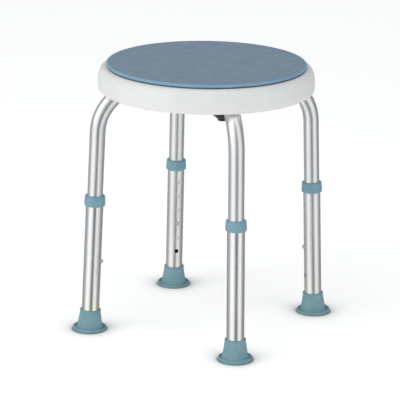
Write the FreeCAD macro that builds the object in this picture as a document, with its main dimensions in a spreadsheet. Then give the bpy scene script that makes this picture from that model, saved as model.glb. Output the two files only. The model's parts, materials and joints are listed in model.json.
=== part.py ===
import FreeCAD, Part

import math
import operator
import os

import Sketcher

# A round shower stool whose padded top turns on a moulded seat. Four bent aluminium legs are plugged
# into a hub under the seat, held up to it by black knobs, and each ends in a lower tube that slides on
# it and is held by a snap button.
#
# The origin is on the floor under the seat's centre, +Z is up and -Y is the front. The legs stand on
# the diagonals. A piece of a leg is modelled in one of two frames: upright, with X pointing out from
# the stool's axis to that leg, or along the leg, with Z running up the leg tube from the floor.

os.makedirs("parts", exist_ok=True)
doc = FreeCAD.newDocument("shower_stool")

SIZES = {
    # leg tubes
    "foot_circle_r": 194.3,  # stool's axis to a leg's axis, at the floor
    "splay": 2.28,  # lean of each leg, in degrees
    "tube_r": 12.7,  # 1 inch tube
    "tube_wall": 1.4,
    "bend_r": 76.2,
    "run_height": 408.0,  # axis of the tube's level run under the seat
    "run_start": 30.3,
    "upper_end": 80.0,  # distances up the leg from here to collar_height
    "lower_r": 14.3,  # 1 1/8 inch tube
    "lower_start": 8.0,
    "lower_end": 226.0,
    "first_hole": 65.2,
    "hole_pitch": 25.4,
    "hole_count": 6,
    "holes_below_button": 2,
    "hole_r": 3.6,
    "collar_start": 212.0,
    "collar_height": 17.5,
    "collar_r": 17.2,
    "collar_top_r": 16.3,
    "collar_belt": 5.2,  # height of the collar's widest line above its start
    "collar_draft": 0.3,
    "collar_low_round": 1.4,
    "collar_top_round": 2.2,
    # fits
    "slide_gap": 0.08,  # tube in tube, and shaft in bush
    "fit_gap": 0.1,  # pieces that stay together
    "thread_gap": 0.05,  # a screw in its thread, and a pressed shank in its hole
    "free_gap": 0.4,  # a stud in a clearance hole
    # snap button and its spring
    "button_r": 3.4,
    "button_proud": 3.3,
    "button_dome": 2.4,
    "leaf_reach": 10.5,  # tube's axis to the leaf's outer face
    "leaf_thick": 0.7,
    "leaf_width": 7.0,
    "leaf_flat": 8.0,
    "spring_height": 44.0,
    "spring_nose": 1.5,
    # rubber foot
    "foot_r": 28.0,
    "foot_lip": 5.0,
    "foot_lip_round": 2.2,
    "foot_groove": 1.7,  # depth of the groove between the lip and the cone
    "foot_flare_r": 22.6,
    "foot_height": 34.0,
    "foot_base": 6.0,
    "foot_cone_r": 20.2,
    "foot_top_r": 16.8,
    "foot_flare_round": 8.0,
    "foot_band": 2.4,  # height of the raised band round the top
    "foot_band_proud": 0.4,
    "foot_band_round": 0.9,
    "foot_below": 3.0,  # rubber left below the floor, to be cut level with it
    "washer_bore": 4.0,
    # moulded seat
    "seat_r": 176.4,
    "seat_bottom": 396.9,
    "rim_r": 175.6,  # the seat's bottom edge
    "rim_round": 5.0,
    "seat_belt": 413.0,  # height of the widest line
    "belt_round": 60.0,
    "shoulder_r": 175.0,  # where the wall turns in towards the shoulder
    "shoulder_start": 424.6,
    "shoulder_round": 17.0,
    "crest_r": 170.6,  # where the shoulder turns level
    "crest_height": 435.4,
    "crest_round": 9.0,
    "lip_round": 0.8,
    "skirt_r": 170.4,
    "skirt_draft": 1.2,
    "deck_top": 432.8,
    "deck_thick": 4.5,
    "recess_r": 160.5,
    "rib_drop": 3.0,
    "rib_thick": 2.5,
    "rib_count": 8,
    "centre_boss_r": 30.0,
    "centre_recess_r": 24.0,
    "centre_floor": 430.3,
    "boss_start": 82.0,
    "boss_length": 28.0,
    "boss_width": 32.0,
    "boss_bottom": 412.0,
    # hub, knobs and their fasteners
    "hub_top": 420.2,
    "hub_bottom": 396.0,
    "spigot_end": 64.0,
    "screw_circle_r": 21.0,
    "screw_r": 2.4,
    "screw_head_r": 4.6,
    "screw_head": 3.0,
    "screw_tip": 428.0,
    "rivet_at": 48.0,
    "rivet_r": 2.4,
    "rivet_head_r": 4.5,
    "rivet_head": 2.0,
    "rivet_tip": 403.0,
    "head_round": 1.4,
    "saddle_r": 12.0,
    "saddle_top": 400.0,
    "knob_at": 96.0,
    "knob_r": 16.0,
    "knob_bottom": 368.1,
    "knob_tip_r": 7.2,
    "knob_tip": 371.2,  # top of the rounded tip, where the knob widens
    "knob_wing": 378.0,  # bottom of the fluted rim
    "knob_neck_bottom": 385.6,
    "knob_neck_r": 9.0,
    "knob_top": 390.4,
    "knob_round": 1.8,
    "flute_r": 4.0,
    "flute_depth": 2.0,
    "flute_count": 8,
    "stud_r": 3.0,
    "stud_bottom": 376.0,
    "stud_top": 430.0,
    "stud_point": 0.8,
    "washer_r": 10.0,
    "washer_bottom": 390.5,
    "washer_top": 392.0,
    "insert_r": 4.5,
    "insert_bottom": 421.0,
    # turning pad
    "seat_top": 442.8,
    "pad_r": 162.5,
    "pad_thick": 6.0,
    "pad_round": 1.6,
    "base_r": 158.0,
    "base_thick": 3.0,
    "base_boss_r": 22.0,
    "base_boss_bottom": 432.0,
    "glide_in": 118.0,
    "glide_out": 134.0,
    "glide_sunk": 1.2,
    "spindle_r": 6.0,
    "spindle_head_r": 14.0,
    "spindle_head_thick": 1.8,
    "head_gap": 0.2,  # between the spindle's head and the pad, and its nut and the hub
    "thread_r": 5.0,
    "spindle_bottom": 384.0,
    "bush_r": 10.0,
    "bush_flange_r": 14.0,
    "bush_flange_top": 431.8,
    "nut_bottom": 385.8,
    "nut_across_corners": 19.6,
    "nut_washer_r": 12.0,
    "nut_washer": 2.0,
}

CORNERS = {"front_right": -45.0, "back_right": 45.0, "back_left": 135.0, "front_left": 225.0}

sheet = doc.addObject("Spreadsheet::Sheet", "Sheet")
for row, (alias, number) in enumerate(SIZES.items(), start=1):
    sheet.set(f"A{row}", alias)
    sheet.set(f"B{row}", str(number))
    sheet.setAlias(f"B{row}", alias)
doc.recompute()


# --- sizes that carry their own expression -------------------------------------------------------

SIGNS = {"+": operator.add, "-": operator.sub, "*": operator.mul, "/": operator.truediv}


class Size:
    """A number together with the spreadsheet expression that gives it."""

    def __init__(self, number, text):
        self.number = number
        self.text = text

    def __add__(self, other):
        return joined(self, "+", other)

    def __sub__(self, other):
        return joined(self, "-", other)

    def __mul__(self, other):
        return joined(self, "*", other)

    def __truediv__(self, other):
        return joined(self, "/", other)

    def __neg__(self):
        return Size(-self.number, f"(-1 * {self.text})")


def as_size(value):
    return value if isinstance(value, Size) else Size(float(value), repr(float(value)))


def joined(left, sign, right):
    left, right = as_size(left), as_size(right)
    return Size(SIGNS[sign](left.number, right.number), f"({left.text} {sign} {right.text})")


def size(alias):
    return Size(float(sheet.get(alias)), f"Sheet.{alias}")


def sine(angle):
    return Size(math.sin(math.radians(angle.number)), f"sin({angle.text})")


def cosine(angle):
    return Size(math.cos(math.radians(angle.number)), f"cos({angle.text})")


def bind(thing, place, value):
    """Sets a property, or part of one, to follow the spreadsheet."""
    thing.setExpression(place, as_size(value).text)


# --- sketches and features -----------------------------------------------------------------------


def new_body(label):
    body = doc.addObject("PartDesign::Body", label)
    body.Label = label
    body.AllowCompound = True
    return body


def new_sketch(body, plane, lift=0, shift=0, tilt=0):
    """A sketch on one of the body's own planes, lifted off it, shifted along its y and tilted about x."""
    sketch = body.newObject("Sketcher::SketchObject", f"{body.Name}_sketch")
    origin = next(f for f in body.Origin.OriginFeatures if f.Role == plane)
    sketch.AttachmentSupport = (origin, [""])
    sketch.MapMode = "FlatFace"
    sketch.AttachmentOffset = FreeCAD.Placement(
        FreeCAD.Vector(0, as_size(shift).number, as_size(lift).number),
        FreeCAD.Rotation(FreeCAD.Vector(1, 0, 0), as_size(tilt).number),
    )
    bind(sketch, "AttachmentOffset.Base.y", shift)
    bind(sketch, "AttachmentOffset.Base.z", lift)
    return sketch


def pin_point(sketch, item, end, x, y):
    """Holds one point of the sketch at (x, y), each following the spreadsheet."""
    for kind, axis, value in (("DistanceX", -2, as_size(x)), ("DistanceY", -1, as_size(y))):
        if value.number == 0:
            sketch.addConstraint(Sketcher.Constraint("PointOnObject", item, end, axis))
        else:
            at = sketch.addConstraint(Sketcher.Constraint(kind, item, end, value.number))
            bind(sketch, f"Constraints[{at}]", value)


def vector(x, y):
    return FreeCAD.Vector(as_size(x).number, as_size(y).number, 0)


def draw_outline(sketch, points):
    """A closed outline of straight lines through the points."""
    following = points[1:] + points[:1]
    lines = [Part.LineSegment(vector(*a), vector(*b)) for a, b in zip(points, following)]
    items = sketch.addGeometry(lines, False)
    for item, after, point in zip(items, items[1:] + items[:1], points):
        sketch.addConstraint(Sketcher.Constraint("Coincident", item, 2, after, 1))
        pin_point(sketch, item, 1, *point)


def draw_circle(sketch, x, y, radius):
    circle = Part.Circle(vector(x, y), FreeCAD.Vector(0, 0, 1), as_size(radius).number)
    item = sketch.addGeometry(circle, False)
    at = sketch.addConstraint(Sketcher.Constraint("Radius", item, as_size(radius).number))
    bind(sketch, f"Constraints[{at}]", radius)
    pin_point(sketch, item, 3, x, y)


def add_feature(body, kind, sketch, **settings):
    feature = body.newObject(f"PartDesign::{kind}", f"{body.Name}_{kind}")
    feature.Profile = sketch
    for name, value in settings.items():
        if isinstance(value, Size):
            bind(feature, name, value)
        else:
            setattr(feature, name, value)
    sketch.Visibility = False
    doc.recompute()
    return feature


def revolve(body, points, kind="Revolution"):
    """Turns an outline of (radius, height) points about the body's Z axis."""
    sketch = new_sketch(body, "XZ_Plane")
    draw_outline(sketch, points)
    return add_feature(body, kind, sketch, ReferenceAxis=(sketch, ["V_Axis"]), Angle=360.0)


def pad_circle(body, plane, x, y, radius, lift, length):
    sketch = new_sketch(body, plane, lift)
    draw_circle(sketch, x, y, radius)
    return add_feature(body, "Pad", sketch, Length=as_size(length))


def cut_circle(body, plane, x, y, radius, lift, length, outward=False):
    """Cuts a round hole that starts at the lifted plane and runs back towards it, or outward."""
    before = body.Shape.Volume
    sketch = new_sketch(body, plane, lift)
    draw_circle(sketch, x, y, radius)
    hole = add_feature(body, "Pocket", sketch, Length=as_size(length), Reversed=outward)
    if not body.Shape.Volume < before - 1:
        raise ValueError(f"{body.Label}: a hole cuts nothing")
    return hole


def around(body, originals, count):
    """Repeats features evenly about the body's Z axis."""
    pattern = body.newObject("PartDesign::PolarPattern", f"{body.Name}_pattern")
    pattern.Originals = originals
    pattern.Axis = (next(f for f in body.Origin.OriginFeatures if f.Role == "Z_Axis"), [""])
    pattern.Angle = 360.0
    pattern.Occurrences = count
    body.Tip = pattern
    doc.recompute()
    return pattern


def round_edges(body, circles, radius):
    """Fillets the circular edges of the body that have the given (radius, height)."""
    base = body.Tip
    names = []
    for number, edge in enumerate(base.Shape.Edges, start=1):
        if not isinstance(edge.Curve, Part.Circle):
            continue
        for wanted_r, wanted_z in circles:
            same_r = abs(edge.Curve.Radius - as_size(wanted_r).number) < 0.01
            same_z = abs(edge.Curve.Center.z - as_size(wanted_z).number) < 0.01
            if same_r and same_z:
                names.append(f"Edge{number}")
    if not names:
        raise ValueError(f"{body.Label}: no edge to round")
    fillet = body.newObject("PartDesign::Fillet", f"{body.Name}_fillet")
    fillet.Base = (base, names)
    bind(fillet, "Radius", radius)
    doc.recompute()
    return fillet


# --- places --------------------------------------------------------------------------------------

TURN = FreeCAD.Vector(0, 0, 1)


def upright(corner, out=0):
    """X points from the stool's axis to this corner's leg, and the piece stands that far out."""
    return FreeCAD.Placement(
        FreeCAD.Vector(), FreeCAD.Rotation(TURN, CORNERS[corner])
    ) * FreeCAD.Placement(FreeCAD.Vector(as_size(out).number, 0, 0), FreeCAD.Rotation())


def along_leg(corner):
    """Z runs up this corner's leg from the floor, and X leans out from the stool's axis."""
    lean = FreeCAD.Rotation(FreeCAD.Vector(0, 1, 0), -SIZES["splay"])
    return upright(corner, size("foot_circle_r")) * FreeCAD.Placement(FreeCAD.Vector(), lean)


DIAGONAL = FreeCAD.Placement(FreeCAD.Vector(), FreeCAD.Rotation(TURN, 45.0))

# --- sizes worked out from the driving ones --------------------------------------------------------

splay = size("splay")
tube_r = size("tube_r")
lower_r = size("lower_r")
slide_gap = size("slide_gap")
fit_gap = size("fit_gap")
free_gap = size("free_gap")
run_height = size("run_height")
bend_r = size("bend_r")
thread_gap = size("thread_gap")
bend_z = run_height - bend_r
bend_x = size("foot_circle_r") - (bend_r + bend_z * sine(splay)) / cosine(splay)
button_at = size("first_hole") + size("holes_below_button") * size("hole_pitch")
deck_under = size("deck_top") - size("deck_thick")
pad_bottom = size("seat_top") - size("pad_thick")
base_bottom = pad_bottom - size("base_thick")
stud_r = size("stud_r")
knob_at = size("knob_at")
insert_top = size("stud_top") + size("head_gap")
screw_spot = size("screw_circle_r") * math.sqrt(0.5)
spindle_ledge = pad_bottom - size("head_gap") - size("spindle_head_thick")
nut_washer_top = size("hub_bottom") - size("head_gap")
SUNK = 1.0  # how far one feature of a piece runs into the next
CLEAR = 3.0  # how far a cut runs past the piece


# --- the seat --------------------------------------------------------------------------------------


def make_seat_shell():
    body = new_body("seat_shell")
    seat_bottom = size("seat_bottom")
    skirt_r = size("skirt_r")
    deck_top = size("deck_top")
    groove = deck_top - size("glide_sunk")
    rib_bottom = deck_under - size("rib_drop")
    rim = (size("rim_r"), seat_bottom)
    belt = (size("seat_r"), size("seat_belt"))
    shoulder = (size("shoulder_r"), size("shoulder_start"))
    crest = (size("crest_r"), size("crest_height"))
    lip = (size("recess_r"), size("crest_height"))
    revolve(
        body,
        [
            (skirt_r, seat_bottom),
            rim,
            belt,
            shoulder,
            crest,
            lip,
            (size("recess_r"), deck_top),
            (size("glide_out") + fit_gap, deck_top),
            (size("glide_out") + fit_gap, groove),
            (size("glide_in") - fit_gap, groove),
            (size("glide_in") - fit_gap, deck_top),
            (size("centre_recess_r"), deck_top),
            (size("centre_recess_r"), size("centre_floor")),
            (size("bush_r") + fit_gap, size("centre_floor")),
            (size("bush_r") + fit_gap, size("hub_top")),
            (size("centre_boss_r"), size("hub_top")),
            (size("centre_boss_r"), deck_under),
            (skirt_r - size("skirt_draft"), deck_under),
        ],
    )
    round_edges(body, [rim], size("rim_round"))
    round_edges(body, [belt], size("belt_round"))
    round_edges(body, [shoulder], size("shoulder_round"))
    round_edges(body, [crest], size("crest_round"))
    round_edges(body, [lip], size("lip_round"))

    # radial ribs between the legs, their ends sunk into the boss and the skirt
    sketch = new_sketch(body, "XZ_Plane")
    start, end = size("centre_boss_r") - SUNK, skirt_r
    draw_outline(
        sketch,
        [(start, rib_bottom), (end, rib_bottom), (end, deck_under + SUNK), (start, deck_under + SUNK)],
    )
    rib = add_feature(body, "Pad", sketch, Length=size("rib_thick"), Midplane=True)
    half_step = FreeCAD.Rotation(FreeCAD.Vector(0, 1, 0), 180 / SIZES["rib_count"])
    sketch.AttachmentOffset = FreeCAD.Placement(FreeCAD.Vector(), half_step)
    around(body, [rib], SIZES["rib_count"])

    # a boss for each leg, with a channel over the tube and a hole for the threaded insert
    sketch = new_sketch(body, "XY_Plane", size("boss_bottom"))
    start, end = size("boss_start"), size("boss_start") + size("boss_length")
    side = size("boss_width") / 2
    draw_outline(sketch, [(start, -side), (end, -side), (end, side), (start, side)])
    boss = add_feature(body, "Pad", sketch, Length=deck_under + SUNK - size("boss_bottom"))
    channel = cut_circle(
        body,
        "YZ_Plane",
        0,
        run_height,
        tube_r + fit_gap,
        start - CLEAR,
        size("boss_length") + CLEAR * 2,
        True,
    )
    insert_hole = cut_circle(
        body,
        "XY_Plane",
        knob_at,
        0,
        size("insert_r") + thread_gap,
        insert_top + fit_gap,
        insert_top + fit_gap - size("insert_bottom") + CLEAR,
    )
    around(body, [boss, channel, insert_hole], len(CORNERS))

    # pilot holes for the hub's screws
    screw_hole_top = size("screw_tip") + fit_gap
    pilot = cut_circle(
        body,
        "XY_Plane",
        screw_spot,
        screw_spot,
        size("screw_r") + thread_gap,
        screw_hole_top,
        screw_hole_top - size("hub_top") + CLEAR,
    )
    around(body, [pilot], len(CORNERS))
    body.Placement = DIAGONAL
    return body


def make_spindle_bush():
    body = new_body("spindle_bush")
    bore = size("spindle_r") + slide_gap
    floor = size("centre_floor")
    revolve(
        body,
        [
            (bore, size("hub_top")),
            (size("bush_r"), size("hub_top")),
            (size("bush_r"), floor),
            (size("bush_flange_r"), floor),
            (size("bush_flange_r"), size("bush_flange_top")),
            (bore, size("bush_flange_top")),
        ],
    )
    return body


def ring(label, inner, outer, bottom, top):
    body = new_body(label)
    revolve(body, [(inner, bottom), (outer, bottom), (outer, top), (inner, top)])
    return body


def make_glide_ring():
    bottom = size("deck_top") - size("glide_sunk")
    return ring("glide_ring", size("glide_in"), size("glide_out"), bottom, base_bottom - fit_gap)


# --- the hub and the fasteners under the seat ------------------------------------------------------


def make_leg_hub():
    body = new_body("leg_hub")
    bottom, top = size("hub_bottom"), size("hub_top")
    bore = size("spindle_r") + free_gap
    revolve(
        body,
        [
            (bore, bottom),
            (size("centre_boss_r"), bottom),
            (size("centre_boss_r"), top),
            (bore, top),
        ],
    )
    start = size("centre_boss_r") - SUNK * 4
    spigot_r = tube_r - size("tube_wall") - fit_gap
    spigot = pad_circle(
        body, "YZ_Plane", 0, run_height, spigot_r, start, size("spigot_end") - start
    )
    rivet_top = size("rivet_tip") + fit_gap
    rivet_hole = cut_circle(
        body, "XY_Plane", size("rivet_at"), 0, size("rivet_r") + thread_gap, rivet_top, rivet_top - bottom
    )
    around(body, [spigot, rivet_hole], len(CORNERS))
    screw_hole = cut_circle(
        body,
        "XY_Plane",
        screw_spot,
        screw_spot,
        size("screw_r") + fit_gap,
        top + CLEAR,
        top - bottom + CLEAR * 2,
    )
    around(body, [screw_hole], len(CORNERS))
    body.Placement = DIAGONAL
    return body


def make_fasteners(label, x, y, head_r, head_bottom, head_top, shank_r, shank_top):
    """Four identical headed fasteners standing on their heads, one to each quarter."""
    body = new_body(label)
    head = pad_circle(body, "XY_Plane", x, y, head_r, head_bottom, head_top - head_bottom)
    rounded = round_edges(body, [(head_r, head_bottom)], size("head_round"))
    shank_bottom = head_top - fit_gap
    shank = pad_circle(body, "XY_Plane", x, y, shank_r, shank_bottom, shank_top - shank_bottom)
    around(body, [head, rounded, shank], len(CORNERS))
    body.Placement = DIAGONAL
    return body


def make_hub_screws():
    head_top = size("hub_bottom")
    return make_fasteners(
        "hub_screws",
        screw_spot,
        screw_spot,
        size("screw_head_r"),
        head_top - size("screw_head"),
        head_top,
        size("screw_r"),
        size("screw_tip"),
    )


def make_spigot_rivets():
    head_top = run_height - tube_r
    return make_fasteners(
        "spigot_rivets",
        size("rivet_at"),
        0,
        size("rivet_head_r"),
        head_top - size("rivet_head"),
        head_top,
        size("rivet_r"),
        size("rivet_tip"),
    )


def make_rings_at_knobs(label, inner, outer, bottom, top):
    """Four identical rings, one round the stud of each knob."""
    body = new_body(label)
    sketch = new_sketch(body, "XY_Plane", bottom)
    draw_circle(sketch, knob_at, 0, outer)
    draw_circle(sketch, knob_at, 0, inner)
    disc = add_feature(body, "Pad", sketch, Length=top - bottom)
    around(body, [disc], len(CORNERS))
    body.Placement = DIAGONAL
    return body


def make_leg_saddle(corner):
    """A round block under the leg tube, hollowed to fit it, for the knob to draw up against."""
    body = new_body(f"leg_saddle_{corner}")
    bore, outer = stud_r + free_gap, size("saddle_r")
    bottom, top = size("washer_top"), size("saddle_top")
    revolve(body, [(bore, bottom), (outer, bottom), (outer, top), (bore, top)])
    cut_circle(
        body,
        "YZ_Plane",
        0,
        run_height,
        tube_r + fit_gap,
        -outer - CLEAR,
        outer * 2 + CLEAR * 2,
        True,
    )
    body.Placement = upright(corner, knob_at)
    return body


def make_leg_knob(corner):
    """A hand knob: a fluted rim that narrows through a cone to a small rounded tip."""
    body = new_body(f"leg_knob_{corner}")
    bottom, neck = size("knob_bottom"), size("knob_neck_bottom")
    knob_r, tip_r = size("knob_r"), size("knob_tip_r")
    wing = size("knob_wing")
    bore = stud_r + thread_gap
    revolve(
        body,
        [
            (0, bottom),
            (tip_r, bottom),
            (tip_r, size("knob_tip")),
            (knob_r, wing),
            (knob_r, neck),
            (size("knob_neck_r"), neck),
            (size("knob_neck_r"), size("knob_top")),
            (bore, size("knob_top")),
            (bore, size("stud_bottom")),
            (0, size("stud_bottom")),
        ],
    )
    round_edges(body, [(tip_r, bottom), (knob_r, wing), (knob_r, neck)], size("knob_round"))
    flute_at = knob_r + size("flute_r") - size("flute_depth")
    top = neck + CLEAR
    flute = cut_circle(body, "XY_Plane", flute_at, 0, size("flute_r"), top, top - bottom)
    around(body, [flute], SIZES["flute_count"])
    body.Placement = upright(corner, knob_at)
    return body


def make_knob_stud(corner):
    body = new_body(f"knob_stud_{corner}")
    bottom, top = size("stud_bottom"), size("stud_top")
    point = size("stud_point")
    revolve(
        body,
        [(0, bottom), (stud_r, bottom), (stud_r, top - point), (stud_r - point, top), (0, top)],
    )
    body.Placement = upright(corner, knob_at)
    return body


# --- the legs --------------------------------------------------------------------------------------


def make_upper_leg(corner):
    """A tube that runs out level from the hub, turns down through a bend and leans out to the floor."""
    body = new_body(f"upper_leg_{corner}")
    lean, rise = sine(splay), cosine(splay)
    bend_end = (bend_x + bend_r * rise, bend_z + bend_r * lean)
    foot_x = size("foot_circle_r")
    leg_end = (foot_x - size("upper_end") * lean, size("upper_end") * rise)

    spine = new_sketch(body, "XZ_Plane")
    circle = Part.Circle(vector(bend_x, bend_z), FreeCAD.Vector(0, 0, 1), SIZES["bend_r"])
    bend = Part.ArcOfCircle(circle, math.radians(SIZES["splay"]), math.pi / 2)
    run = Part.LineSegment(vector(size("run_start"), run_height), vector(bend_x, run_height))
    leg = Part.LineSegment(vector(*bend_end), vector(*leg_end))
    first, second, third = spine.addGeometry([run, bend, leg], False)
    pin_point(spine, first, 1, size("run_start"), run_height)
    pin_point(spine, first, 2, bend_x, run_height)
    pin_point(spine, third, 1, *bend_end)
    pin_point(spine, third, 2, *leg_end)
    spine.addConstraint(Sketcher.Constraint("Coincident", first, 2, second, 2))
    spine.addConstraint(Sketcher.Constraint("Coincident", second, 1, third, 1))
    at = spine.addConstraint(Sketcher.Constraint("DistanceX", second, 3, bend_x.number))
    bind(spine, f"Constraints[{at}]", bend_x)

    section = new_sketch(body, "YZ_Plane", size("run_start"))
    draw_circle(section, 0, run_height, tube_r)
    draw_circle(section, 0, run_height, tube_r - size("tube_wall"))
    doc.recompute()
    add_feature(body, "AdditivePipe", section, Spine=(spine, ["Edge1", "Edge2", "Edge3"]))
    spine.Visibility = False

    above = run_height + tube_r + CLEAR
    cut_circle(body, "XY_Plane", knob_at, 0, stud_r + free_gap, above, tube_r * 2 + CLEAR * 2)
    rivet_hole_r = size("rivet_r") + thread_gap
    cut_circle(body, "XY_Plane", size("rivet_at"), 0, rivet_hole_r, run_height, tube_r + CLEAR)

    # the snap button's hole, square to the leaning leg and on its inner side
    before = body.Shape.Volume
    out, up = foot_x - button_at * lean, button_at * rise
    sketch = new_sketch(body, "YZ_Plane", out, up, -splay)
    draw_circle(sketch, 0, 0, size("hole_r"))
    add_feature(body, "Pocket", sketch, Length=lower_r + CLEAR)
    if not body.Shape.Volume < before - 1:
        raise ValueError(f"{body.Label}: the button's hole cuts nothing")
    body.Placement = upright(corner)
    return body


def make_lower_tube(corner):
    body = new_body(f"lower_tube_{corner}")
    bore = tube_r + slide_gap
    start, end = size("lower_start"), size("lower_end")
    revolve(body, [(bore, start), (lower_r, start), (lower_r, end), (bore, end)])
    hole = cut_circle(body, "YZ_Plane", 0, size("first_hole"), size("hole_r"), 0, lower_r + CLEAR)
    row = body.newObject("PartDesign::LinearPattern", f"{body.Name}_row")
    row.Originals = [hole]
    row.Direction = (next(f for f in body.Origin.OriginFeatures if f.Role == "Z_Axis"), [""])
    bind(row, "Length", size("hole_pitch") * (size("hole_count") - 1))
    row.Occurrences = SIZES["hole_count"]
    body.Tip = row
    doc.recompute()
    body.Placement = along_leg(corner)
    return body


def make_leg_collar(corner):
    """A ring that caps the lower tube and guides the upper one, a little narrower at the top."""
    body = new_body(f"leg_collar_{corner}")
    start = size("collar_start")
    top = start + size("collar_height")
    ledge = size("lower_end") + fit_gap
    bore = lower_r + fit_gap
    guide = tube_r + slide_gap
    outer, top_r = size("collar_r"), size("collar_top_r")
    low_r = outer - size("collar_draft")
    revolve(
        body,
        [
            (bore, start),
            (low_r, start),
            (outer, start + size("collar_belt")),
            (top_r, top),
            (guide, top),
            (guide, ledge),
            (bore, ledge),
        ],
    )
    round_edges(body, [(low_r, start)], size("collar_low_round"))
    round_edges(body, [(top_r, top)], size("collar_top_round"))
    body.Placement = along_leg(corner)
    return body


def make_foot(corner):
    """A rubber tip in line with the leg: a cone that flares over a rolled lip, level with the floor."""
    body = new_body(f"foot_{corner}")
    lip, flange, cone = size("foot_lip"), size("foot_r"), size("foot_cone_r")
    flare, groove = size("foot_flare_r"), size("foot_groove")
    top, top_r, bore = size("foot_height"), size("foot_top_r"), lower_r + fit_gap
    proud = size("foot_band_proud")
    band, band_r = top - size("foot_band"), top_r + proud
    below = -size("foot_below")
    revolve(
        body,
        [
            (0, below),
            (flange, below),
            (flange, lip),
            (flare + groove, lip),
            (flare + groove / 2, lip - groove),
            (flare, lip - groove / 2),
            (cone, lip + groove * 2),
            (top_r, band),
            (band_r, band + proud),
            (band_r, top),
            (bore, top),
            (bore, size("foot_base")),
            (0, size("foot_base")),
        ],
    )
    round_edges(body, [(flange, lip)], size("foot_lip_round"))
    round_edges(body, [(cone, lip + groove * 2)], size("foot_flare_round"))
    round_edges(body, [(band_r, top)], size("foot_band_round"))
    before = body.Shape.Volume
    reach = flange + CLEAR
    drop = reach * sine(splay) / cosine(splay)
    sketch = new_sketch(body, "XZ_Plane")
    draw_outline(sketch, [(-reach, drop), (reach, -drop), (reach, -reach), (-reach, -reach)])
    add_feature(body, "Pocket", sketch, Length=reach * 2, Midplane=True)
    if not body.Shape.Volume < before - 1:
        raise ValueError(f"{body.Label}: the tread isn't cut level")
    body.Placement = along_leg(corner)
    return body


def make_foot_washer(corner):
    base = size("foot_base")
    body = ring(
        f"foot_washer_{corner}", size("washer_bore"), lower_r - free_gap, base, size("lower_start")
    )
    body.Placement = along_leg(corner)
    return body


def make_snap_button(corner):
    """A domed pin whose Z axis points from the tube's axis to the stool's."""
    body = new_body(f"snap_button_{corner}")
    radius, tip = size("button_r"), lower_r + size("button_proud")
    base = size("leaf_reach")
    revolve(body, [(0, base), (radius, base), (radius, tip), (0, tip)])
    round_edges(body, [(radius, tip)], size("button_dome"))
    inward = FreeCAD.Rotation(FreeCAD.Vector(0, 1, 0), -90)
    body.Placement = along_leg(corner) * FreeCAD.Placement(
        FreeCAD.Vector(0, 0, button_at.number), inward
    )
    return body


def make_snap_spring(corner):
    """A V of spring strip inside the upper tube: the button stands on one leaf."""
    body = new_body(f"snap_spring_{corner}")
    reach, thick, nose = size("leaf_reach"), size("leaf_thick"), size("spring_nose")
    low, bend = button_at - size("leaf_flat"), button_at + size("leaf_flat")
    high = bend + size("spring_height")
    outer = [(reach, low), (reach, bend), (nose, high), (-nose, high), (-reach, bend), (-reach, low)]
    inner_reach, inner_nose = reach - thick, nose - thick
    inner = [
        (-inner_reach, low),
        (-inner_reach, bend),
        (-inner_nose, high - thick),
        (inner_nose, high - thick),
        (inner_reach, bend),
        (inner_reach, low),
    ]
    sketch = new_sketch(body, "XZ_Plane")
    draw_outline(sketch, outer + inner)
    add_feature(body, "Pad", sketch, Length=size("leaf_width"), Midplane=True)
    body.Placement = along_leg(corner)
    return body


# --- the turning pad -------------------------------------------------------------------------------


def make_pad():
    body = new_body("pad")
    radius, top = size("pad_r"), size("seat_top")
    revolve(body, [(0, pad_bottom), (radius, pad_bottom), (radius, top), (0, top)])
    round_edges(body, [(radius, top)], size("pad_round"))
    return body


def make_pad_base():
    body = new_body("pad_base")
    bore = size("spindle_r") + thread_gap
    sunk = size("spindle_head_r") + fit_gap
    revolve(
        body,
        [
            (bore, size("base_boss_bottom")),
            (size("base_boss_r"), size("base_boss_bottom")),
            (size("base_boss_r"), base_bottom),
            (size("base_r"), base_bottom),
            (size("base_r"), pad_bottom),
            (sunk, pad_bottom),
            (sunk, spindle_ledge),
            (bore, spindle_ledge),
        ],
    )
    return body


def make_spindle():
    body = new_body("spindle")
    bottom, head_top = size("spindle_bottom"), pad_bottom - size("head_gap")
    shaft, thread, head = size("spindle_r"), size("thread_r"), size("spindle_head_r")
    revolve(
        body,
        [
            (0, bottom),
            (thread, bottom),
            (thread, nut_washer_top),
            (shaft, nut_washer_top),
            (shaft, spindle_ledge),
            (head, spindle_ledge),
            (head, head_top),
            (0, head_top),
        ],
    )
    return body


def make_spindle_washer():
    bottom = nut_washer_top - size("nut_washer")
    bore = size("thread_r") + thread_gap
    return ring("spindle_washer", bore, size("nut_washer_r"), bottom, nut_washer_top)


def make_spindle_nut():
    body = new_body("spindle_nut")
    bottom, top = size("nut_bottom"), nut_washer_top - size("nut_washer")
    corner_r = size("nut_across_corners") / 2
    turns = [math.radians(60 * k) for k in range(6)]
    hexagon = [(corner_r * round(math.cos(t), 9), corner_r * round(math.sin(t), 9)) for t in turns]
    sketch = new_sketch(body, "XY_Plane", bottom)
    draw_outline(sketch, hexagon)
    draw_circle(sketch, 0, 0, size("thread_r") + thread_gap)
    add_feature(body, "Pad", sketch, Length=top - bottom)
    return body


# --- build, check and write --------------------------------------------------------------------------

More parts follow.
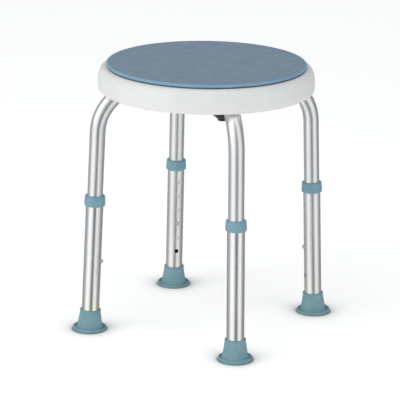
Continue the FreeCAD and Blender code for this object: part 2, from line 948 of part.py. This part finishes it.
pieces = [
    make_seat_shell(),
    make_spindle_bush(),
    make_glide_ring(),
    make_leg_hub(),
    make_hub_screws(),
    make_spigot_rivets(),
    make_rings_at_knobs(
        "knob_washers",
        stud_r + free_gap,
        size("washer_r"),
        size("washer_bottom"),
        size("washer_top"),
    ),
    make_rings_at_knobs(
        "knob_inserts", stud_r + thread_gap, size("insert_r"), size("insert_bottom"), insert_top
    ),
    make_pad(),
    make_pad_base(),
    make_spindle(),
    make_spindle_washer(),
    make_spindle_nut(),
]
MAKERS = (
    make_upper_leg,
    make_leg_saddle,
    make_leg_knob,
    make_knob_stud,
    make_snap_spring,
    make_snap_button,
    make_lower_tube,
    make_leg_collar,
    make_foot,
    make_foot_washer,
)
pieces += [make(corner) for corner in CORNERS for make in MAKERS]
doc.recompute()

for thing in doc.Objects:
    if "Invalid" in thing.State or "Error" in thing.State:
        raise ValueError(f"{thing.Label} did not recompute: {thing.State}")
for piece in pieces:
    if piece.Shape.isNull() or not piece.Shape.isValid():
        raise ValueError(f"{piece.Label} has no valid shape")
for piece in pieces:
    piece.Shape.exportStep(f"parts/{piece.Label}.step")
print(len(pieces), "pieces written")
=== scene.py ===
import json
import math

import bmesh
import bpy
from mathutils import Matrix, Quaternion, Vector


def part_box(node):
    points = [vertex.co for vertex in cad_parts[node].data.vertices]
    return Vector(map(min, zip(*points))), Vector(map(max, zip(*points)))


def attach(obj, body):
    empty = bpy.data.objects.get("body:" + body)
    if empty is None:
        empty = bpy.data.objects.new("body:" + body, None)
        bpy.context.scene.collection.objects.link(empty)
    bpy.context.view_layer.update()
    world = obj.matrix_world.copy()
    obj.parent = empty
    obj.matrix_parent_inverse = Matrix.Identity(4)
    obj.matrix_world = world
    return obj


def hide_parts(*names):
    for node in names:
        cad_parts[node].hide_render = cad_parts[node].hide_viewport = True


# The looks of a round swivel shower stool: its foam pad is built here, and the CAD pieces get finishes.
# Everything is in metres in the stool's own frame: +Z up, -Y to the front, the legs on the diagonals.

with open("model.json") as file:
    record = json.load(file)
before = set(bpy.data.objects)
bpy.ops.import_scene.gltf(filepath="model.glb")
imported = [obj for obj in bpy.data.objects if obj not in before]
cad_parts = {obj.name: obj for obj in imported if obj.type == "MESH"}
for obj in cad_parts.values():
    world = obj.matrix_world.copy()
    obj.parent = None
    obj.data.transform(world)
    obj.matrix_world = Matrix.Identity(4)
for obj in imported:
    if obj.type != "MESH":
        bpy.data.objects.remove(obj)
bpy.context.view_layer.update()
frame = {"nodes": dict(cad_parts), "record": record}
NODES = frame["nodes"]
SLOT_OF = {row["node"]: row["material_slot"] for row in frame["record"]["subparts"]}


# --- material helpers ----------------------------------------------------------------------------


def new_material(name, **settings):
    """A material, its node tree and its shader. Settings are the shader's own inputs."""
    material = bpy.data.materials.new(name)
    material.use_nodes = True
    tree = material.node_tree
    shader = tree.nodes["Principled BSDF"]
    for key, value in settings.items():
        shader.inputs[key.replace("_", " ").title().replace("Ior", "IOR")].default_value = value
    return material, tree, shader


def object_space(tree, scale=(1, 1, 1)):
    """The piece's own coordinates in metres, stretched by scale."""
    source = tree.nodes.new("ShaderNodeTexCoord")
    mapping = tree.nodes.new("ShaderNodeMapping")
    mapping.inputs["Scale"].default_value = scale
    tree.links.new(source.outputs["Object"], mapping.inputs["Vector"])
    return mapping.outputs["Vector"]


def noise(tree, where, scale, detail=4, roughness=0.55):
    node = tree.nodes.new("ShaderNodeTexNoise")
    node.inputs["Scale"].default_value = scale
    node.inputs["Detail"].default_value = detail
    node.inputs["Roughness"].default_value = roughness
    tree.links.new(where, node.inputs["Vector"])
    return node.outputs["Fac"]


def cells(tree, where, scale):
    node = tree.nodes.new("ShaderNodeTexVoronoi")
    node.inputs["Scale"].default_value = scale
    tree.links.new(where, node.inputs["Vector"])
    return node.outputs["Distance"]


def spread(tree, value, low, high, low_at=0.3, high_at=0.7):
    """Maps a pattern's value to run from low to high."""
    node = tree.nodes.new("ShaderNodeMapRange")
    node.inputs["From Min"].default_value = low_at
    node.inputs["From Max"].default_value = high_at
    node.inputs["To Min"].default_value = low
    node.inputs["To Max"].default_value = high
    tree.links.new(value, node.inputs["Value"])
    return node.outputs["Result"]


def combine(tree, how, first, second):
    node = tree.nodes.new("ShaderNodeMath")
    node.operation = how
    for value, socket in ((first, node.inputs[0]), (second, node.inputs[1])):
        if isinstance(value, (int, float)):
            socket.default_value = value
        else:
            tree.links.new(value, socket)
    return node.outputs["Value"]


def colours(tree, value, stops):
    """A colour ramp through (position, (r, g, b)) stops."""
    node = tree.nodes.new("ShaderNodeValToRGB")
    ramp = node.color_ramp
    while len(ramp.elements) < len(stops):
        ramp.elements.new(0.5)
    for element, (position, colour) in zip(ramp.elements, stops):
        element.position = position
        element.color = (*colour, 1)
    tree.links.new(value, node.inputs["Fac"])
    return node.outputs["Color"]


def shade(colour, amount):
    return tuple(part * amount for part in colour)


def add_bump(tree, shader, height, depth, strength=1.0, under=None):
    """Bump of that depth in metres, on top of another bump if one is given."""
    node = tree.nodes.new("ShaderNodeBump")
    node.inputs["Distance"].default_value = depth
    node.inputs["Strength"].default_value = strength
    tree.links.new(height, node.inputs["Height"])
    if under is not None:
        tree.links.new(under, node.inputs["Normal"])
    tree.links.new(node.outputs["Normal"], shader.inputs["Normal"])
    return node.outputs["Normal"]


# --- finishes --------------------------------------------------------------------------------------


def white_plastic():
    """Blow-moulded polyethylene: satin, faintly waxy, with a soft pebbled skin and slight clouding."""
    base = (0.825, 0.825, 0.82)
    material, tree, shader = new_material(
        "white_plastic", subsurface_weight=0.08, subsurface_scale=0.004
    )
    shader.inputs["Subsurface Radius"].default_value = (1.0, 0.9, 0.8)
    where = object_space(tree)
    cloud = noise(tree, where, 28, 5)
    tree.links.new(
        colours(tree, cloud, [(0.3, shade(base, 0.965)), (0.7, shade(base, 1.02))]),
        shader.inputs["Base Color"],
    )
    grain = noise(tree, where, 900, 3)
    tree.links.new(spread(tree, grain, 0.40, 0.52), shader.inputs["Roughness"])
    soft = add_bump(tree, shader, noise(tree, where, 60, 2), 0.0006, 0.5)
    add_bump(tree, shader, grain, 0.00012, 0.6, soft)
    return material


def foam_top():
    """The pad's face: a matte, closely flecked textile-like skin."""
    base = (0.19, 0.276, 0.356)
    material, tree, shader = new_material(
        "foam_top", sheen_weight=0.25, sheen_roughness=0.5, specular_ior_level=0.25
    )
    shader.inputs["Sheen Tint"].default_value = (0.75, 0.85, 1.0, 1)
    where = object_space(tree)
    fleck = noise(tree, where, 520, 3, 0.7)
    mottle = noise(tree, where, 45, 4)
    flecks, clouds = combine(tree, "MULTIPLY", fleck, 0.7), combine(tree, "MULTIPLY", mottle, 0.3)
    pattern = combine(tree, "ADD", flecks, clouds)
    tree.links.new(
        colours(tree, pattern, [(0.36, shade(base, 0.78)), (0.5, base), (0.64, shade(base, 1.24))]),
        shader.inputs["Base Color"],
    )
    tree.links.new(spread(tree, fleck, 0.75, 0.92), shader.inputs["Roughness"])
    weave = combine(tree, "ADD", cells(tree, where, 900), fleck)
    add_bump(tree, shader, weave, 0.00035, 0.8)
    return material


def foam_rim_painted_highlight():
    """The pad's smooth moulded edge, bluer and glossier than its face; its lighter colour is partly a
    painted highlight, standing in for the light its rounded edge catches.
    """
    # painted highlight: this base is lighter than the face's to stand in for light on the rounded edge
    base = (0.22, 0.385, 0.53)
    material, tree, shader = new_material("foam_rim_painted_highlight", specular_ior_level=0.5)
    where = object_space(tree)
    cloud = noise(tree, where, 120, 4)
    tree.links.new(
        colours(tree, cloud, [(0.3, shade(base, 0.94)), (0.7, shade(base, 1.06))]),
        shader.inputs["Base Color"],
    )
    tree.links.new(spread(tree, cloud, 0.38, 0.5), shader.inputs["Roughness"])
    add_bump(tree, shader, noise(tree, where, 700, 3), 0.0001, 0.5)
    return material


def anodised_tube(name, rough):
    """Satin anodised aluminium with fine draw lines along the tube."""
    base = (0.83, 0.835, 0.845)
    material, tree, shader = new_material(name, metallic=1.0)
    lines = noise(tree, object_space(tree, (1, 1, 0.012)), 1400, 3, 0.6)
    cloud = noise(tree, object_space(tree, (1, 1, 0.3)), 30, 3)
    tree.links.new(
        colours(tree, cloud, [(0.3, shade(base, 0.96)), (0.7, shade(base, 1.02))]),
        shader.inputs["Base Color"],
    )
    drawn, patchy = spread(tree, lines, rough - 0.05, rough + 0.05), spread(tree, cloud, -0.02, 0.03)
    tree.links.new(combine(tree, "ADD", drawn, patchy), shader.inputs["Roughness"])
    add_bump(tree, shader, lines, 0.00001, 0.5)
    return material


def blue_grey(name, base, gloss):
    """The soft blue-grey polymer of the feet and collars, with a faint moulded bloom."""
    material, tree, shader = new_material(name, specular_ior_level=0.42)
    where = object_space(tree)
    bloom = noise(tree, where, 70, 4)
    tree.links.new(
        colours(tree, bloom, [(0.3, shade(base, 0.9)), (0.7, shade(base, 1.08))]),
        shader.inputs["Base Color"],
    )
    grain = noise(tree, where, 1100, 3)
    tree.links.new(spread(tree, grain, gloss, gloss + 0.14), shader.inputs["Roughness"])
    add_bump(tree, shader, grain, 0.00012, 0.7)
    return material


def moulded(name, base, rough):
    """A plain moulded plastic with a fine spark-eroded texture."""
    material, tree, shader = new_material(name)
    where = object_space(tree)
    grain = noise(tree, where, 1300, 3)
    tree.links.new(
        colours(tree, noise(tree, where, 90, 3), [(0.3, shade(base, 0.9)), (0.7, shade(base, 1.1))]),
        shader.inputs["Base Color"],
    )
    tree.links.new(spread(tree, grain, rough, rough + 0.15), shader.inputs["Roughness"])
    add_bump(tree, shader, grain, 0.00015, 0.7)
    return material


def bare_metal(name, base, rough, grain_size):
    """A bare metal whose scratches or casting grain has that scale."""
    material, tree, shader = new_material(name, metallic=1.0)
    grain = noise(tree, object_space(tree), grain_size, 5, 0.65)
    tree.links.new(
        colours(tree, grain, [(0.3, shade(base, 0.85)), (0.7, shade(base, 1.1))]),
        shader.inputs["Base Color"],
    )
    tree.links.new(spread(tree, grain, rough, rough + 0.15), shader.inputs["Roughness"])
    add_bump(tree, shader, grain, 0.00008, 0.6)
    return material


FINISHES = {
    "white_seat": white_plastic(),
    "foam_pad": foam_top(),
    "anodised_tube": anodised_tube("anodised_tube", 0.33),
    "grey_rubber": blue_grey("grey_rubber", (0.20, 0.36, 0.41), 0.5),
    "grey_collar": blue_grey("grey_collar", (0.205, 0.365, 0.45), 0.42),
    "black_plastic": moulded("black_plastic", (0.014, 0.014, 0.016), 0.2),
    "natural_nylon": moulded("natural_nylon", (0.72, 0.70, 0.64), 0.42),
    "grey_base": moulded("grey_base", (0.20, 0.25, 0.29), 0.5),
    "cast_aluminium": bare_metal("cast_aluminium", (0.60, 0.61, 0.62), 0.42, 700),
    "steel": bare_metal("steel", (0.62, 0.61, 0.59), 0.2, 1500),
    "brass": bare_metal("brass", (0.72, 0.53, 0.26), 0.25, 1500),
}
# the rim finish, lighter than the face partly as a painted highlight
PAD_RIM_WITH_PAINTED_HIGHLIGHT = foam_rim_painted_highlight()
SMOOTHER_TUBE = anodised_tube("smoother_tube", 0.23)
SMOOTHER = ("lower_tube_front_right", "lower_tube_front_left")

for node, piece in NODES.items():
    for slot in piece.material_slots:
        slot.material = SMOOTHER_TUBE if node in SMOOTHER else FINISHES[SLOT_OF[node]]


# --- pieces built here -----------------------------------------------------------------------------


def corner_arc(before, corner, after, radius, steps=6):
    """Points of the arc that rounds a corner of an outline."""
    into, out = (corner - before).normalized(), (after - corner).normalized()
    turn = into.angle(out)
    back = radius * math.tan(turn / 2)
    start = corner - into * back
    middle = start + Vector((-into.y, into.x)) * radius * (1 if into.cross(out) > 0 else -1)
    first = start - middle
    sweep = turn if into.cross(out) > 0 else -turn
    return [middle + Matrix.Rotation(sweep * k / steps, 2) @ first for k in range(steps + 1)]


def rounded(outline):
    """An outline of (radius, height, rounding) points, with its corners rounded."""
    places = [Vector(point[:2]) for point in outline]
    made = []
    for index, (place, point) in enumerate(zip(places, outline)):
        if point[2] and 0 < index < len(places) - 1:
            made += corner_arc(places[index - 1], place, places[index + 1], point[2])
        else:
            made.append(place)
    return made


def lathe(name, outline, around):
    """A smooth solid of revolution about Z, from (radius, height, rounding) points, axis to axis."""
    mesh = bmesh.new()
    rings = []
    for place in rounded(outline):
        if place.x < 1e-7:
            rings.append([mesh.verts.new((0, 0, place.y))])
            continue
        turns = [2 * math.pi * k / around for k in range(around)]
        rings.append(
            [mesh.verts.new((place.x * math.cos(t), place.x * math.sin(t), place.y)) for t in turns]
        )
    for low, high in zip(rings, rings[1:]):
        for k in range(around):
            after = k + 1
            corners = [
                low[k % len(low)],
                low[after % len(low)],
                high[after % len(high)],
                high[k % len(high)],
            ]
            mesh.faces.new(list(dict.fromkeys(corners)))
    bmesh.ops.recalc_face_normals(mesh, faces=mesh.faces)
    data = bpy.data.meshes.new(name)
    mesh.to_mesh(data)
    mesh.free()
    data.shade_smooth()
    piece = bpy.data.objects.new(name, data)
    bpy.context.scene.collection.objects.link(piece)
    return piece


PAD_RIM_WIDTH = 0.0022  # of the smooth rolled edge, seen from above
PAD_CROWN = 0.0006  # how much higher the middle is than the rim
PAD_GROOVE = 0.0004  # depth of the crease between the rim and the face
PAD_STEPS_ROUND = 256


def make_pad():
    """The foam pad: a thin crowned disc with a rolled, smooth edge round a flecked face."""
    low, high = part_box("pad")
    edge = high.x
    face = edge - PAD_RIM_WIDTH
    top = high.z - PAD_CROWN
    outline = [
        (0, low.z, 0),
        (edge - 0.012, low.z, 0),
        (edge - 0.0010, low.z + 0.0002, 0.0008),
        (edge, low.z + 0.0016, 0.001),
        (edge, top - 0.0014, 0.0012),
        (edge - 0.0014, top, 0.0009),
        (face, top - 0.0001, 0),
        (face - 0.0006, top - PAD_GROOVE, 0),
        (face - 0.0016, top, 0.0008),
        (edge * 0.8, high.z - PAD_CROWN * 0.45, 0),
        (edge * 0.5, high.z - PAD_CROWN * 0.12, 0),
        (0, high.z, 0),
    ]
    pad = lathe("foam_cushion", outline, PAD_STEPS_ROUND)
    pad.data.materials.append(FINISHES["foam_pad"])
    pad.data.materials.append(PAD_RIM_WITH_PAINTED_HIGHLIGHT)
    # the rim and the underside take the rim finish, whose lighter colour is partly a painted highlight
    for polygon in pad.data.polygons:
        middle = polygon.center
        beyond = math.hypot(middle.x, middle.y) > face - 0.0006
        polygon.material_index = 1 if beyond or middle.z < low.z + 0.001 else 0
    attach(pad, "swivel_pad")
    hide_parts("pad")
    return pad


make_pad()


# --- camera, floor and light -----------------------------------------------------------------------

CAMERA_AZIMUTH = math.radians(-60.648)
CAMERA_DISTANCE = 3.4569
CAMERA_HEIGHT = 1.2271
CAMERA_PITCH = math.radians(-16.418)
CAMERA_PAN = math.radians(-0.127)
CAMERA_ROLL = math.radians(0.81)
SENSOR_WIDTH_MM, LENS_MM = 36, 196.42

# bearings are in degrees from the camera's side of the stool, anticlockwise from above
COOL, PLAIN = (0.96, 0.985, 1.0), (1.0, 1.0, 1.0)
WALLS = [
    (-180, 0.30, PLAIN),
    (-112, 0.32, PLAIN),
    (-86, 0.42, COOL),
    (-66, 0.95, COOL),
    (-30, 1.00, COOL),
    (-12, 0.50, COOL),
    (4, 0.12, COOL),
    (16, 0.14, COOL),
    (32, 0.80, COOL),
    (66, 0.92, COOL),
    (84, 0.36, COOL),
    (110, 0.24, PLAIN),
    (180, 0.30, PLAIN),
]
WALL_LIGHT = 1.25

FLOOR_HALF = 6
FLOOR_HEIGHT, SHEET_HEIGHT = -0.0002, -0.0004
FLOOR_GLOW = 0.40
SHADE_REACH = 0.05  # how far from a foot the floor's painted contact shadow reaches
SHADE_SAMPLES = 12
SHADE_DARK, SHADE_CLEAR = 0.62, 0.965  # how open to the sky the floor is where its painted shadow is darkest and where it has none
# painted shadow: the floor's colour from darkest by a foot to clear, a warm grey where shaded
PAINTED_SHADOW_COLOURS = [
    (0, (0.22, 0.205, 0.20)),
    (0.4, (0.56, 0.545, 0.54)),
    (0.75, (0.84, 0.838, 0.837)),
    (1, (0.9, 0.9, 0.9)),
]
SHEET_HALF, SHEET_FRONT, SHEET_BACK = 0.42, 0.42, 0.3
SHEET_TINT = (1.0, 0.975, 0.915)

# a softbox's name, bearing and elevation in degrees, distance, width, height and power in watts
SOFTBOXES = [
    ("overhead", 0, 78, 2.2, 2.0, 2.0, 5.5),
    ("key", -74, 28, 2.4, 1.4, 1.8, 7.6),
]
SOFTBOX_TARGET = (0, 0, 0.25)


def make_camera():
    data = bpy.data.cameras.new("camera")
    data.sensor_width = SENSOR_WIDTH_MM
    data.lens = LENS_MM
    camera = bpy.data.objects.new("camera", data)
    bpy.context.scene.collection.objects.link(camera)
    away = Vector((math.cos(CAMERA_AZIMUTH), math.sin(CAMERA_AZIMUTH), 0))
    camera.location = away * CAMERA_DISTANCE + Vector((0, 0, CAMERA_HEIGHT))
    level = Quaternion((0, 0, 1), CAMERA_AZIMUTH + math.pi / 2 - CAMERA_PAN)
    tilt = Quaternion((1, 0, 0), math.pi / 2 + CAMERA_PITCH)
    camera.rotation_mode = "QUATERNION"
    camera.rotation_quaternion = level @ tilt @ Quaternion((0, 0, 1), CAMERA_ROLL)
    bpy.context.scene.camera = camera


def plane(name, low, high, height, material):
    """A level rectangle between two corners, given as (right, away) distances from the stool's axis
    as the camera sees them."""
    mesh = bpy.data.meshes.new(name)
    right = Vector((-math.sin(CAMERA_AZIMUTH), math.cos(CAMERA_AZIMUTH), 0))
    away = Vector((-math.cos(CAMERA_AZIMUTH), -math.sin(CAMERA_AZIMUTH), 0))
    outline = [(low[0], low[1]), (high[0], low[1]), (high[0], high[1]), (low[0], high[1])]
    places = [right * x + away * y + Vector((0, 0, height)) for x, y in outline]
    mesh.from_pydata(places, [], [(0, 1, 2, 3)])
    mesh.materials.append(material)
    piece = bpy.data.objects.new(name, mesh)
    bpy.context.scene.collection.objects.link(piece)
    return piece


def make_floor():
    """A plain white floor with a painted contact shadow: its colour and glow darken where a foot is near.
    Reflections pass through it.
    """
    material, tree, shader = new_material("floor", roughness=0.9, specular_ior_level=0.1)
    nearness = tree.nodes.new("ShaderNodeAmbientOcclusion")
    nearness.inputs["Distance"].default_value = SHADE_REACH
    nearness.samples = SHADE_SAMPLES
    # painted contact shadow: the occlusion darkens the floor's colour and glow near the feet
    openness = spread(tree, nearness.outputs["AO"], 0, 1, SHADE_DARK, SHADE_CLEAR)
    tree.links.new(colours(tree, openness, PAINTED_SHADOW_COLOURS), shader.inputs["Base Color"])
    shader.inputs["Emission Color"].default_value = (1, 1, 1, 1)
    tree.links.new(spread(tree, openness, 0, FLOOR_GLOW, 0, 1), shader.inputs["Emission Strength"])
    floor = plane("floor", (-FLOOR_HALF, -FLOOR_HALF), (FLOOR_HALF, FLOOR_HALF), FLOOR_HEIGHT, material)
    floor.visible_glossy = False


def make_sheet():
    """A clear warm sheet just under the floor, seen by reflections only. It ends in front of the stool,
    and tints what the tubes reflect near their feet."""
    warm = bpy.data.materials.new("warm_sheet")
    warm.use_nodes = True
    tree = warm.node_tree
    tree.nodes.clear()
    output = tree.nodes.new("ShaderNodeOutputMaterial")
    clear = tree.nodes.new("ShaderNodeBsdfTransparent")
    clear.inputs["Color"].default_value = (*SHEET_TINT, 1)
    tree.links.new(clear.outputs["BSDF"], output.inputs["Surface"])
    sheet = plane("sheet", (-SHEET_HALF, -SHEET_FRONT), (SHEET_HALF, SHEET_BACK), SHEET_HEIGHT, warm)
    sheet.visible_camera = sheet.visible_diffuse = sheet.visible_shadow = False
    sheet.visible_transmission = False


def make_world():
    """A studio that the camera sees as white, while the stool reflects bright walls left and right of
    a dim front."""
    world = bpy.data.worlds.new("studio")
    bpy.context.scene.world = world
    world.use_nodes = True
    tree = world.node_tree
    tree.nodes.clear()
    output = tree.nodes.new("ShaderNodeOutputWorld")
    source = tree.nodes.new("ShaderNodeTexCoord")
    turned = tree.nodes.new("ShaderNodeMapping")
    turned.inputs["Rotation"].default_value = (0, 0, -CAMERA_AZIMUTH)
    tree.links.new(source.outputs["Generated"], turned.inputs["Vector"])
    split = tree.nodes.new("ShaderNodeSeparateXYZ")
    tree.links.new(turned.outputs["Vector"], split.inputs["Vector"])
    bearing = combine(tree, "ARCTAN2", split.outputs["Y"], split.outputs["X"])
    place = spread(tree, bearing, 0, 1, -math.pi, math.pi)
    stops = [((bearing_deg + 180) / 360, shade(tint, light)) for bearing_deg, light, tint in WALLS]
    panorama = colours(tree, place, stops)
    lit = tree.nodes.new("ShaderNodeBackground")
    lit.inputs["Strength"].default_value = WALL_LIGHT
    tree.links.new(panorama, lit.inputs["Color"])
    seen = tree.nodes.new("ShaderNodeBackground")
    path = tree.nodes.new("ShaderNodeLightPath")
    mix = tree.nodes.new("ShaderNodeMixShader")
    tree.links.new(path.outputs["Is Camera Ray"], mix.inputs["Fac"])
    tree.links.new(lit.outputs["Background"], mix.inputs[1])
    tree.links.new(seen.outputs["Background"], mix.inputs[2])
    seen.inputs["Color"].default_value = (1, 1, 1, 1)
    tree.links.new(mix.outputs["Shader"], output.inputs["Surface"])


def make_softbox(name, bearing_deg, elevation_deg, distance, wide, high, watts):
    """An area light at that bearing from the camera's side, aimed at the stool."""
    data = bpy.data.lights.new(name, "AREA")
    data.shape = "RECTANGLE"
    data.size, data.size_y, data.energy = wide, high, watts
    light = bpy.data.objects.new(name, data)
    bpy.context.scene.collection.objects.link(light)
    bearing = CAMERA_AZIMUTH + math.radians(bearing_deg)
    rise = math.radians(elevation_deg)
    away = Vector((math.cos(bearing) * math.cos(rise), math.sin(bearing) * math.cos(rise), math.sin(rise)))
    light.location = Vector(SOFTBOX_TARGET) + away * distance
    light.rotation_euler = (-away).to_track_quat("-Z", "Y").to_euler()


make_camera()
make_floor()
make_sheet()
make_world()
for softbox in SOFTBOXES:
    make_softbox(*softbox)
bpy.context.scene.view_settings.view_transform = "Standard"
